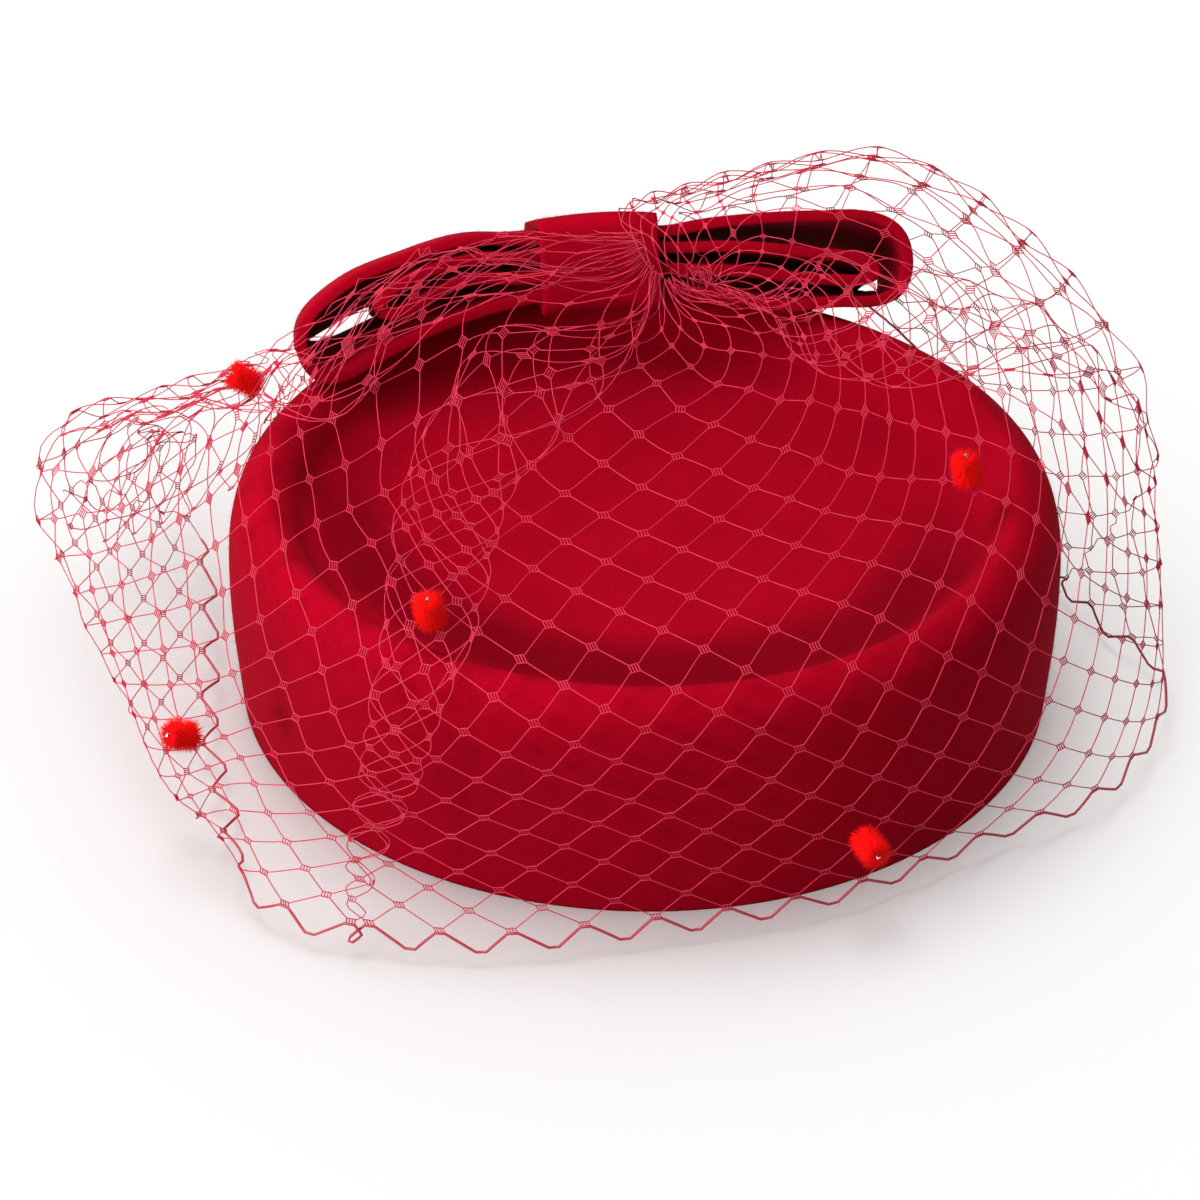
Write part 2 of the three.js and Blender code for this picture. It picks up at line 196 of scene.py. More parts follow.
def fibre_group():
    """Colour and height of tangled fibres, from a fine noise and a slow one."""
    group = bpy.data.node_groups.new("wool_fibre", "ShaderNodeTree")
    sockets = group.interface
    for name, kind in (
        ("Colour", "NodeSocketColor"),
        ("Shade", "NodeSocketColor"),
        ("Fibre Scale", "NodeSocketFloat"),
        ("Cloud Scale", "NodeSocketFloat"),
    ):
        sockets.new_socket(name=name, in_out="INPUT", socket_type=kind)
    sockets.new_socket(name="Colour", in_out="OUTPUT", socket_type="NodeSocketColor")
    sockets.new_socket(name="Height", in_out="OUTPUT", socket_type="NodeSocketFloat")
    nodes, links = group.nodes, group.links
    given = nodes.new("NodeGroupInput")
    made = nodes.new("NodeGroupOutput")
    place = nodes.new("ShaderNodeTexCoord")
    fibre = nodes.new("ShaderNodeTexNoise")
    fibre.inputs["Detail"].default_value = 5
    fibre.inputs["Distortion"].default_value = 1.4
    cloud = nodes.new("ShaderNodeTexNoise")
    cloud.inputs["Detail"].default_value = 2
    both = nodes.new("ShaderNodeMath")
    both.operation = "MULTIPLY_ADD"
    both.inputs[1].default_value = 0.6
    level = nodes.new("ShaderNodeMapRange")
    level.inputs["From Min"].default_value = 0.42
    level.inputs["From Max"].default_value = 1.15
    mix = nodes.new("ShaderNodeMix")
    mix.data_type = "RGBA"
    links.new(place.outputs["Object"], fibre.inputs["Vector"])
    links.new(place.outputs["Object"], cloud.inputs["Vector"])
    links.new(given.outputs["Fibre Scale"], fibre.inputs["Scale"])
    links.new(given.outputs["Cloud Scale"], cloud.inputs["Scale"])
    links.new(cloud.outputs["Fac"], both.inputs[0])
    links.new(fibre.outputs["Fac"], both.inputs[2])
    links.new(both.outputs[0], level.inputs["Value"])
    links.new(level.outputs["Result"], mix.inputs["Factor"])
    links.new(given.outputs["Shade"], mix.inputs["A"])
    links.new(given.outputs["Colour"], mix.inputs["B"])
    links.new(mix.outputs["Result"], made.inputs["Colour"])
    links.new(fibre.outputs["Fac"], made.inputs["Height"])
    return group


wool_fibre = fibre_group()
print("node group:", wool_fibre.name)

# %% [markdown]
# ## Finishes
#
# Crimson felt is matt, with a soft glow at grazing angles where loose fibres catch the
# light, so it gets sheen. The net's thread is a smooth yarn, lighter than the felt and a
# little glossy, and its selvedge is darker. The chenille is the brightest red, held by wire,
# and it gets a faint painted glow: it gives off red light of its own, though it is no lamp.

# %% Materials


def fibre_material(name, colour, shade, fibre_scale, cloud_scale, bump, bump_depth):
    """A material with the fibre group in it."""
    material = bpy.data.materials.new(name)
    material.use_nodes = True
    nodes, links = material.node_tree.nodes, material.node_tree.links
    shader = nodes["Principled BSDF"]
    group = nodes.new("ShaderNodeGroup")
    group.node_tree = wool_fibre
    group.inputs["Colour"].default_value = (*colour, 1)
    group.inputs["Shade"].default_value = (*shade, 1)
    group.inputs["Fibre Scale"].default_value = fibre_scale
    group.inputs["Cloud Scale"].default_value = cloud_scale
    relief = nodes.new("ShaderNodeBump")
    relief.inputs["Strength"].default_value = bump
    relief.inputs["Distance"].default_value = bump_depth
    links.new(group.outputs["Colour"], shader.inputs["Base Color"])
    links.new(group.outputs["Height"], relief.inputs["Height"])
    links.new(relief.outputs["Normal"], shader.inputs["Normal"])
    return material


def set_shader(material, values):
    """Constant values, set straight on the sockets of a material's shader."""
    for name, value in values.items():
        material.node_tree.nodes["Principled BSDF"].inputs[name].default_value = value


# Columns: name, colour, shade, fibre scale, cloud scale, bump, bump's depth in metres
FINISHES = [
    ("crimson_felt", (0.206, 0.0, 0.006), (0.142, 0.0, 0.004), 2600, 70, 0.5, 0.0003),
    ("rose_thread", (0.33, 0.008, 0.03), (0.26, 0.006, 0.022), 4000, 300, 0.3, 0.0001),
    ("selvedge_thread", (0.27, 0.008, 0.022), (0.20, 0.005, 0.015), 4000, 300, 0.3, 0.0001),
    ("chenille_with_painted_glow", (0.58, 0.0, 0.001), (0.45, 0.0, 0.0), 1800, 500, 0.3, 0.0002),
    ("bright_wire", (0.5, 0.5, 0.52), (0.4, 0.4, 0.42), 900, 300, 0.1, 0.0001),
]
felt, thread, edging, chenille, wire = (fibre_material(*row) for row in FINISHES)
set_shader(felt, {"Roughness": 0.95, "Specular IOR Level": 0.02})
set_shader(felt, {"Sheen Weight": 0.05, "Sheen Roughness": 0.45, "Sheen Tint": (1.0, 0.03, 0.08, 1)})
set_shader(thread, {"Roughness": 0.6, "Specular IOR Level": 0.2})
set_shader(edging, {"Roughness": 0.5})
set_shader(chenille, {"Roughness": 0.75, "Specular IOR Level": 0.05})
set_shader(chenille, {"Sheen Weight": 0.03, "Sheen Tint": (1.0, 0.15, 0.1, 1)})
# The chenille's emission is a painted glow, brightening the dots with light of their own.
set_shader(chenille, {"Emission Color": (0.9, 0.01, 0.008, 1), "Emission Strength": 0.2})
set_shader(wire, {"Metallic": 1, "Roughness": 0.3})
print("finishes:", ", ".join(m.name for m in (felt, thread, edging, chenille, wire)))

# %% [markdown]
# ## Pieces
#
# Every finished piece sits at the origin with its place in its mesh, rides on the one body,
# and names the solids that it stands for, which are hidden.

# %% Put a piece on the hat


def add_piece(name, mesh, material, slot, *nodes):
    """One object with its finish, on the hat's body, in place of the solids named."""
    mesh.name = name
    mesh.materials.clear()
    mesh.materials.append(material)
    mesh.shade_smooth()
    piece = bpy.data.objects.new(name, mesh)
    bpy.context.scene.collection.objects.link(piece)
    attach(piece, "root")
    if nodes:
        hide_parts(*nodes)
    return piece


def finish_felt(piece, thickness, offset, crease, levels):
    """Gives a felt sheet its thickness and softens its cut edges."""
    wall = piece.modifiers.new("felt thickness", "SOLIDIFY")
    wall.thickness = thickness
    wall.offset = offset
    wall.use_even_offset = True
    wall.edge_crease_inner = wall.edge_crease_outer = crease
    soft = piece.modifiers.new("soft edges", "SUBSURF")
    soft.levels = soft.render_levels = levels


def chain(bm, points, closed=False):
    """A line of vertices and edges to spin or extrude."""
    verts = [bm.verts.new(p) for p in points]
    pairs = list(zip(verts, verts[1:]))
    if closed:
        pairs.append((verts[-1], verts[0]))
    return verts, [bm.edges.new(pair) for pair in pairs]


def corner_key(bm, part):
    """A number for an edge or a face from the first and last of its vertices."""
    corners = [vert.index for vert in part.verts]
    return min(corners) * len(bm.verts) + max(corners)


def mesh_from(bm, name):
    """A mesh whose edges and faces come in a fixed order, which operators alone don't give."""
    bm.verts.index_update()
    bm.edges.sort(key=lambda edge: corner_key(bm, edge))
    bm.faces.sort(key=lambda face: corner_key(bm, face))
    mesh = bpy.data.meshes.new(name)
    bm.to_mesh(mesh)
    bm.free()
    return mesh


print("piece helpers ready")

# %% [markdown]
# ## Painted shade in the dish's corner
#
# The felt is darker along the corner where the dish meets the rim, most of all at the front.
# That darkening is painted shade, standing in for the shade that falls in the corner. It
# could be painted on the mesh. Here a copy of the felt carries a ring worked out from the
# crown's oval, and the ring fades out towards the back and a little sooner at the right.

# %% Felt with a ring of painted shade
CROWN_WIDTH = 180
CROWN_DEPTH = 158
# The ring's darkening is painted shade: the felt's colour there is multiplied by this grey.
PAINTED_SHADE_FACTOR = 0.58
PAINTED_SHADE_MIDDLE = (2, 8, 0)
# Each row is a share of the oval's radius and the strength of the ring there
PAINTED_SHADE_RING = [(0.57, 0), (0.72, 1), (0.80, 1), (0.88, 0)]
PAINTED_SHADE_FROM = 0.35
PAINTED_SHADE_FULLY_FROM = -0.1
RIGHT_FADE = 0.4
TALLER_THAN_THE_HAT = 1000


def math_node(nodes, operation, *values):
    """A math node, with values for its sockets after the first."""
    node = nodes.new("ShaderNodeMath")
    node.operation = operation
    for socket, value in zip(list(node.inputs)[1:], values):
        socket.default_value = value
    return node


def felt_with_painted_shade():
    """The felt with painted shade: darker in a ring along the dish's corner."""
    material = felt.copy()
    material.name = "felt_with_painted_shade"
    nodes, links = material.node_tree.nodes, material.node_tree.links
    place = nodes.new("ShaderNodeTexCoord")
    oval = nodes.new("ShaderNodeMapping")
    oval.vector_type = "TEXTURE"
    oval.inputs["Location"].default_value = hat_place(PAINTED_SHADE_MIDDLE)
    half_oval = (CROWN_WIDTH / 2 * MM, CROWN_DEPTH / 2 * MM)
    oval.inputs["Scale"].default_value = (*half_oval, TALLER_THAN_THE_HAT)
    radius = nodes.new("ShaderNodeVectorMath")
    radius.operation = "LENGTH"
    ring = nodes.new("ShaderNodeValToRGB")
    ring.color_ramp.interpolation = "EASE"
    for share, grey in PAINTED_SHADE_RING:
        stop = ring.color_ramp.elements.new(share)
        stop.color = (grey, grey, grey, 1)
    ring.color_ramp.elements.remove(ring.color_ramp.elements[0])
    ring.color_ramp.elements.remove(ring.color_ramp.elements[-1])
    axes = nodes.new("ShaderNodeSeparateXYZ")
    right = math_node(nodes, "MAXIMUM", 0)
    back = math_node(nodes, "MULTIPLY_ADD", RIGHT_FADE)
    front = nodes.new("ShaderNodeMapRange")
    front.inputs["From Min"].default_value = PAINTED_SHADE_FROM
    front.inputs["From Max"].default_value = PAINTED_SHADE_FULLY_FROM
    corner = math_node(nodes, "MULTIPLY")
    shade = nodes.new("ShaderNodeMix")
    shade.data_type = "RGBA"
    shade.blend_type = "MULTIPLY"
    shade.inputs["B"].default_value = (PAINTED_SHADE_FACTOR, PAINTED_SHADE_FACTOR, PAINTED_SHADE_FACTOR, 1)
    fibre = next(node for node in nodes if node.type == "GROUP")
    links.new(place.outputs["Object"], oval.inputs["Vector"])
    links.new(oval.outputs["Vector"], radius.inputs[0])
    links.new(radius.outputs["Value"], ring.inputs["Fac"])
    links.new(oval.outputs["Vector"], axes.inputs["Vector"])
    links.new(axes.outputs["X"], right.inputs[0])
    links.new(right.outputs["Value"], back.inputs[0])
    links.new(axes.outputs["Y"], back.inputs[2])
    links.new(back.outputs["Value"], front.inputs["Value"])
    links.new(ring.outputs["Color"], corner.inputs[0])
    links.new(front.outputs["Result"], corner.inputs[1])
    links.new(corner.outputs["Value"], shade.inputs["Factor"])
    links.new(fibre.outputs["Colour"], shade.inputs["A"])
    links.new(shade.outputs["Result"], nodes["Principled BSDF"].inputs["Base Color"])
    return material


# The crown wears the felt with the ring of painted shade.
crown_finish = felt_with_painted_shade()
print("crown's finish:", crown_finish.name)

# %% [markdown]
# ## The crown
#
# The crown is one shell, blocked over an oval form: a wall that swells a little, a full
# round rim, and a dished top. It could be carved from a primitive, but its section says
# everything, so a line of the section is spun round and then squeezed to the oval. A slow
# unevenness of a third of a millimetre keeps the hand-blocked look.

# %% Spin the crown
FELT = 2.6
CROWN_HEIGHT = 54
CROWN_TURNS = 96
SECTION_STEPS = 4
# Each row is the distance in from the wall and the distance below the rim's crest
CROWN_SECTION = [
    (90.0, 11.0), (50.0, 11.2), (22.0, 10.8), (16.6, 8.8), (12.6, 2.6), (8.6, 0.0),
    (3.2, 2.8), (0.2, 9.5), (-0.9, 20.0), (-1.0, 34.0), (-0.4, 46.0), (0.0, 54.0),
]
UNEVEN_SCALE = 0.012
UNEVEN_BY = 0.3
EVEN_FOOT = 20
rows = [(CROWN_WIDTH / 2 - inset, 0, CROWN_HEIGHT - drop) for inset, drop in CROWN_SECTION]
places = np.linspace(0, len(rows) - 1, (len(rows) - 1) * SECTION_STEPS + 1)
bm = bmesh.new()
verts, edges = chain(bm, smooth_line(rows, places))
bmesh.ops.spin(
    bm,
    geom=verts + edges,
    cent=(0, 0, 0),
    axis=(0, 0, 1),
    angle=math.tau,
    steps=CROWN_TURNS,
    use_merge=True,
)
bmesh.ops.remove_doubles(bm, verts=bm.verts, dist=0.001)
bmesh.ops.recalc_face_normals(bm, faces=bm.faces)
bmesh.ops.scale(bm, vec=(1, CROWN_DEPTH / CROWN_WIDTH, 1), verts=bm.verts)
for vert in bm.verts:
    lift = noise.noise(vert.co * UNEVEN_SCALE) * UNEVEN_BY * min(1, vert.co.z / EVEN_FOOT)
    vert.co += Vector((vert.co.x, vert.co.y, 0)).normalized() * lift
    vert.co = hat_place(vert.co)
crown = add_piece("felt_crown", mesh_from(bm, "felt_crown"), crown_finish, "felt", "crown")
finish_felt(crown, FELT * MM, -1, 0.6, 1)
print("crown:", len(crown.data.polygons), "faces before its thickness")

# %% [markdown]
# ## The bow's own space
#
# The bow lies over the back rim on a bent line, leaning back and twisting a little along
# its length. It is easier to draw flat, so its strips are drawn in the bow's own space,
# along the bow, up from its underside and back across the strip, and then set on the hat.

# %% Set a point of the bow on the hat
BOW_STRIP_WIDTH = 34
BOW_TILT = math.radians(29)
BOW_TWIST = math.radians(14)
BOW_YAW = math.radians(8)
KNOT_SHARE = 0.475
BOW_SPINE = [(-72, 30, 58.8), (-43, 46, 66.2), (-8, 55, 68.9), (28, 58, 63.0), (62, 60, 53.4)]
spine = smooth_line(BOW_SPINE, np.linspace(0, len(BOW_SPINE) - 1, 401))
spine_along = distances(spine)
spine_length = spine_along[-1]
spine_direction = np.gradient(spine, axis=0)
spine_direction /= np.linalg.norm(spine_direction, axis=1, keepdims=True)
bow_axis = np.array([math.cos(BOW_YAW), math.sin(BOW_YAW), 0])
bow_back = np.array([-bow_axis[1], bow_axis[0], 0])


def bow_place(points):
    """Rows of along, up and back, in millimetres, as points on the hat."""
    along, up, back = np.asarray(points, float).T
    wanted = KNOT_SHARE * spine_length + along
    held = np.clip(wanted, 0, spine_length)
    on_spine = np.stack([np.interp(held, spine_along, axis) for axis in spine.T], axis=1)
    direction = np.stack([np.interp(held, spine_along, axis) for axis in spine_direction.T], axis=1)
    tilt = BOW_TILT + BOW_TWIST * along / spine_length
    level = (back * np.cos(tilt) + up * np.sin(tilt))[:, None] * bow_back
    height = (up * np.cos(tilt) - back * np.sin(tilt))[:, None] * np.array([0, 0, 1])
    return on_spine + direction * (wanted - held)[:, None] + level + height


print("bow's line:", round(spine_length), "mm")

# %% [markdown]
# ## The bow's loops
#
# Two long strips of felt are folded into a pair of loops each, the shorter one inside the
# longer. Flat planes could be bent by modifiers, but the bends themselves are what shows. So
# a strip is drawn as a closed line of its bends and extruded across its width, a few steps
# at a time, so that each step can narrow towards the back as the real loops do.
# The left loops hang over the rim and sag there, the front of the underside droops, and at
# the right its back lifts.

# %% Extrude the two strips
BOW_TAPER = 0.25
BOW_LEFT_SAG = 8.5
BOW_DROOP = 4
BOW_LIFT = 4
BOW_LOOP_RUN = 25
SAG_AT_UNDERSIDE = 0.2
SAG_PER_HEIGHT = 0.05
UNDERSIDE_FROM = 1
UNDERSIDE_RUN = 8
DROOP_END = 40
DROOP_END_RUN = 20
DROOP_SHARE = 0.7
KNOT_WIDTH = 27
BOW_STEPS = 96
STEPS_ACROSS = 6
# Each row is the distance along from the knot's middle and the height above the underside
OUTER_BENDS = [
    (0, 10.3), (16, 10.6), (25, 13.4), (36, 16.2), (52, 19.8), (66, 22.6), (72, 20.8), (73.6, 14.4),
    (71, 7.0), (63, 2.6), (49, 1.3), (18, 1.3), (0, 1.3), (-18, 1.3), (-52, 0.8), (-65, 1.4),
    (-72, 6.6), (-71, 12.8), (-61, 16.6), (-44, 15.2), (-30, 14.0), (-18, 11.0),
]
INNER_BENDS = [
    (0, 7.3), (18, 7.5), (34, 9.6), (50, 11.0), (61, 12.2), (66, 10.6), (63, 7.8), (52, 5.9),
    (36, 5.6), (18, 4.5), (0, 4.3), (-18, 4.5), (-29, 6.1), (-48, 5.7), (-53, 7.7), (-49, 9.9),
    (-29, 9.3), (-18, 7.5),
]


def loop_up(along, up, share):
    """Height in the bow at a share of the strip's width, counted from the front."""
    opened = ease((abs(along) - KNOT_WIDTH / 2) / BOW_LOOP_RUN)
    higher = min(SAG_AT_UNDERSIDE + SAG_PER_HEIGHT * up, 1)
    sag = BOW_LEFT_SAG * opened * share**3 * higher if along < 0 else 0
    under = 1 - ease((up - UNDERSIDE_FROM) / UNDERSIDE_RUN)
    before_end = 1 - ease((along - DROOP_END) / DROOP_END_RUN)
    droop = BOW_DROOP * under * before_end * (1 - ease(share / DROOP_SHARE))
    lift = BOW_LIFT * opened * under * ease(share) if along > 0 else 0
    return up * (1 - BOW_TAPER * share**2) - sag - droop + lift


def set_on_hat(bm):
    """Moves vertices from the bow's space to their places on the hat."""
    points = hat_place(bow_place([vert.co for vert in bm.verts]))
    for vert, point in zip(bm.verts, points):
        vert.co = point
    bmesh.ops.recalc_face_normals(bm, faces=bm.faces)


def extrude_by(bm, edges, step):
    """Extrudes a line of edges by one step and gives back the edges of the moved line."""
    grown = bmesh.ops.extrude_edge_only(bm, edges=edges)["geom"]
    moved = [part for part in grown if isinstance(part, bmesh.types.BMVert)]
    bmesh.ops.translate(bm, verts=moved, vec=step)
    made = [part for part in grown if isinstance(part, bmesh.types.BMEdge)]
    return [edge for edge in made if all(vert in moved for vert in edge.verts)]


def bow_strip(name, bends, node):
    """One strip of felt, bent along a closed line into its loops and set on the hat."""
    line = smooth_line(bends, np.linspace(0, len(bends), 800), closed=True)
    line = spread_evenly(line, BOW_STEPS + 1)[:-1]
    bm = bmesh.new()
    _, edges = chain(bm, [(along, up, 0) for along, up in line], closed=True)
    for _ in range(STEPS_ACROSS):
        edges = extrude_by(bm, edges, (0, 0, BOW_STRIP_WIDTH / STEPS_ACROSS))
    for vert in bm.verts:
        vert.co.y = loop_up(vert.co.x, vert.co.y, vert.co.z / BOW_STRIP_WIDTH)
    set_on_hat(bm)
    strip = add_piece(name, mesh_from(bm, name), felt, "felt", node)
    finish_felt(strip, FELT * MM, 0, 0.75, 2)
    return strip


bow_outer = bow_strip("felt_bow_outer", OUTER_BENDS, "bow_outer")
bow_inner = bow_strip("felt_bow_inner", INNER_BENDS, "bow_inner")
print("bow strips:", len(bow_outer.data.polygons), "and", len(bow_inner.data.polygons), "faces")

# %% [markdown]
# ## The bow's knot
#
# A short felt band wraps both strips. A rounded box would need its inside cut away. So the
# box's outline is drawn round the stack of four layers, its corners are bevelled, and it is
# extruded along the bow. It narrows to the back like the layers that it holds.

# %% Wrap the knot
PIECE_GAP = 0.4
KNOT_EASE = 0.7
KNOT_STEPS = 8
KNOT_CORNER = 2.4
stack = 4 * FELT + 3 * PIECE_GAP
reach = KNOT_EASE + FELT / 2
bm = bmesh.new()
corners = [(-reach, -reach), (BOW_STRIP_WIDTH + reach, -reach)]
corners += [(BOW_STRIP_WIDTH + reach, stack + reach), (-reach, stack + reach)]
verts, _ = chain(bm, [(-KNOT_WIDTH / 2, up, back) for back, up in corners], closed=True)
bmesh.ops.bevel(
    bm,
    geom=verts,
    affect="VERTICES",
    offset=KNOT_CORNER,
    offset_type="OFFSET",
    segments=4,
    profile=0.5,
    material=-1,
)
edges = bm.edges[:]
for _ in range(KNOT_STEPS):
    edges = extrude_by(bm, edges, (KNOT_WIDTH / KNOT_STEPS, 0, 0))
for vert in bm.verts:
    vert.co.y = loop_up(vert.co.x, vert.co.y, min(max(vert.co.z / BOW_STRIP_WIDTH, 0), 1))
set_on_hat(bm)
knot = add_piece("felt_bow_knot", mesh_from(bm, "felt_bow_knot"), felt, "felt", "bow_knot")
finish_felt(knot, FELT * MM, 0, 0.75, 2)
print("knot:", len(knot.data.polygons), "faces before its thickness")

# %% [markdown]
# ## The veil's sheet
#
# The veil is one strip of net, gathered to a short line at the knot's right end. Its left
# half crosses the knot and the front of the left loop first. It spreads over the dished top,
# bends down past the rim, rolls under at the left and stands up in a hood at the right. A
# table gives a few ribs of that sheet, each with a place over the top, at the rim, at the
# turn and at the hem, and smooth curves fill in the rest.

# %% Ribs of the veil
GATHER_ALONG = (13, 20)
GATHER_UP = (11, -4)
GATHER_BACK = -4.6
ROLLED_RIBS = 3
# Where the left ribs cross the knot: rib, along the bow, up from its underside, back
CROSSINGS = np.array([
    (0, -19, 7, -5), (3, -16, 12.5, -5), (6, -13, 9.5, -5), (8, -7, 5, -5.5),
    (9, -1, 1.5, -6), (10, 5, -2.5, -6), (11, 10, -6, -6), (12, 15, -8, -6),
], float)
# Where they cross the front of the left loop, in the same columns
LOOP_CROSSINGS = np.array([
    (0, -46, 3, -6), (1, -47, 7, -5), (2, -48, 11, -5), (3, -50, 14, -6),
    (4, -49, 11, -9), (5, -47, 6, -11), (6, -44, 1, -12),
], float)
# Columns: over the top, at the rim, at the turn, at the hem. The first three ribs roll under.
VEIL_RIBS = np.array([
    [(-72, 24, 59), (-97, 26, 30), (-127, 20, 22), (-130, 26, 30)],
    [(-74, 25, 62), (-95, 40, 32), (-122, 36, 20), (-124, 44, 22)],
    [(-76, 26, 66), (-94, 45, 43), (-117, 46, 28), (-112, 58, 20)],
    [(-76, 25, 69), (-96, 40, 50), (-122, 44, 37.5), (-104, 66, 16)],
    [(-75, 20, 66), (-96, 30, 51.5), (-133, 31, 41.5), (-106, 50, 11)],
    [(-71, 13, 61), (-92, 18, 56), (-135, 14, 36), (-98, 28, 8)],
    [(-67, 6, 58), (-88, 0, 57), (-126, -6, 27), (-94, -5, 5)],
    [(-60, 0, 57), (-80, -22, 57), (-113, -32, 20), (-92, -29, 4)],
    [(-52, -4, 57), (-70, -42, 57), (-97, -60, 12), (-85, -55, 3)],
    [(-40, -6, 57), (-52, -60, 57), (-77, -78, 20), (-78, -84, 3)],
    [(-22, -6, 57), (-27, -72, 57), (-40, -86, 25), (-43, -95, 3)],
    [(0, -6, 57), (2, -75, 57), (-3, -85, 25), (-4, -91, 3)],
    [(24, -4, 57), (32, -68, 57), (35, -80, 25), (38, -80, 3)],
    [(44, 0, 57), (60, -52, 57), (70, -64, 25), (74, -60, 3)],
    [(56, 8, 58), (79, -28, 58), (97, -42, 25), (101, -44, 3)],
    [(60, 18, 61), (89, -2, 60), (111, -12, 28), (116, -8, 3)],
    [(60, 28, 66), (90, 22, 63), (113, 18, 38), (102, 12, 3)],
    [(57, 38, 75), (84, 42, 71), (110, 42, 50), (84, 46, 6)],
    [(47, 46, 84), (68, 54, 83), (89, 66, 66), (74, 84, 14)],
    [(28, 50, 88), (43, 60, 91), (58, 84, 79), (52, 106, 26)],
    [(14, 50, 84), (20, 60, 86.5), (30, 82, 76.5), (34, 107, 34)],
    [(-1, 50, 78.5), (-6, 57, 80), (4, 78, 70.5), (16, 108, 40)],
], float)
# The rib from which each crossing fades out, and the ribs that it takes
CROSSING_FADE = (11, 2.5)
LOOP_FADE = (4.5, 2.5)
RIB_STEPS = 10
DOWN_STEPS = 90
CURVE_STEPS = 300
rib_places = np.linspace(0, len(VEIL_RIBS) - 1, (len(VEIL_RIBS) - 1) * RIB_STEPS + 1)
rib_columns = [smooth_line(VEIL_RIBS[:, k], rib_places) for k in range(4)]
turn_along = distances(rib_columns[2])
turn_start = turn_along[ROLLED_RIBS * RIB_STEPS]
gather_share = np.clip((turn_along - turn_start) / (turn_along[-1] - turn_start), 0, 1)
gather_ends = (GATHER_ALONG, GATHER_UP, (GATHER_BACK, GATHER_BACK))
gather_rows = [np.interp(gather_share, [0, 1], ends) for ends in gather_ends]
gather_line = bow_place(np.stack(gather_rows, axis=1))


def crossing(table, before, after, fade):
    """A line on the bow from a table, which fades into the middle between its neighbours."""
    rows = [np.interp(rib_places, table[:, 0], table[:, k]) for k in (1, 2, 3)]
    line = bow_place(np.stack(rows, axis=1))
    middle = (before + after) / 2
    return line + (middle - line) * ease((rib_places - fade[0]) / fade[1])[:, None]


crossing_line = crossing(CROSSINGS, gather_line, rib_columns[0], CROSSING_FADE)
loop_line = crossing(LOOP_CROSSINGS, crossing_line, rib_columns[0], LOOP_FADE)


def rib_curve(k):
    """Points of one rib at equal distances, from the gather to the hem."""
    knots = [gather_line[k], crossing_line[k], loop_line[k], *(column[k] for column in rib_columns)]
    places = np.linspace(0, len(knots) - 1, CURVE_STEPS)
    return spread_evenly(smooth_line(knots, places), DOWN_STEPS + 1)


print("ribs:", len(VEIL_RIBS), "hem:", round(distances(rib_columns[3])[-1]), "mm")

# %% [markdown]
# Net that touches the crown lies on its rim and spans the dish. Each point of the sheet that
# would fall inside the crown is lifted to the height of the rim's crest or pushed out past
# the wall, whichever is nearer.

# %% Keep the sheet out of the crown
WALL_BULGE = 1.0
CREST_INSET = 8.6


def clear_of_crown(points, clearance):
    """Points with those inside the crown moved out of it, by the shorter way."""
    points = np.array(points)
    half_width = CROWN_WIDTH / 2 + WALL_BULGE
    half_depth = CROWN_DEPTH / 2 + WALL_BULGE
    radius = np.maximum(np.hypot(points[:, 0] / half_width, points[:, 1] / half_depth), 0.01)
    inset = (1 - radius) * half_width
    rounding = CREST_INSET - np.clip(inset, 0, CREST_INSET)
    top = CROWN_HEIGHT - CREST_INSET + np.sqrt(CREST_INSET**2 - rounding**2)
    up = top + clearance - points[:, 2]
    out = inset + clearance
    inside = (up > 0) & (out > 0)
    lifted = inside & (up < out)
    pushed = inside & ~lifted
    points[lifted, 2] += up[lifted]
    points[pushed, :2] *= ((1 + clearance / half_width) / radius[pushed])[:, None]
    return points


VEIL_CLEARANCE = 1.2
sheet = np.array([clear_of_crown(rib_curve(k), VEIL_CLEARANCE) for k in range(len(rib_places))])
sheet_normals = np.cross(np.gradient(sheet, axis=1), np.gradient(sheet, axis=0))
sheet_normals /= np.maximum(np.linalg.norm(sheet_normals, axis=2, keepdims=True), 1e-9)


def read_sheet(grid, rib, down):
    """Values of a grid over the sheet at places counted in ribs and shares of the way down."""
    row = np.clip(rib * RIB_STEPS, 0, len(grid) - 1.001)
    column = np.clip(down * DOWN_STEPS, 0, DOWN_STEPS - 0.001)
    near_row, near_column = row.astype(int), column.astype(int)
    row_part, column_part = (row - near_row)[:, None], (column - near_column)[:, None]
    return (
        (1 - row_part) * (1 - column_part) * grid[near_row, near_column]
        + row_part * (1 - column_part) * grid[near_row + 1, near_column]
        + (1 - row_part) * column_part * grid[near_row, near_column + 1]
        + row_part * column_part * grid[near_row + 1, near_column + 1]
    )


print("sheet grid:", sheet.shape[:2])

# %% [markdown]
# ## The net's lie
#
# The net itself has even cells, 15 mm wide, but the sheet grows narrower from the hem to the
# gather. The spare width is folded away in three places: a long tuck left of the middle, the
# roll at the left wing and the hood at the right. Between the folds the cells stay even. So
# each level of the sheet is laid out along its own length, from two columns of the net whose
# lines show in the photograph.

# %% Lay the net's columns across the sheet
CELL_WIDTH = 14.7
CELL_WIDTH_ON_TOP = 16.1
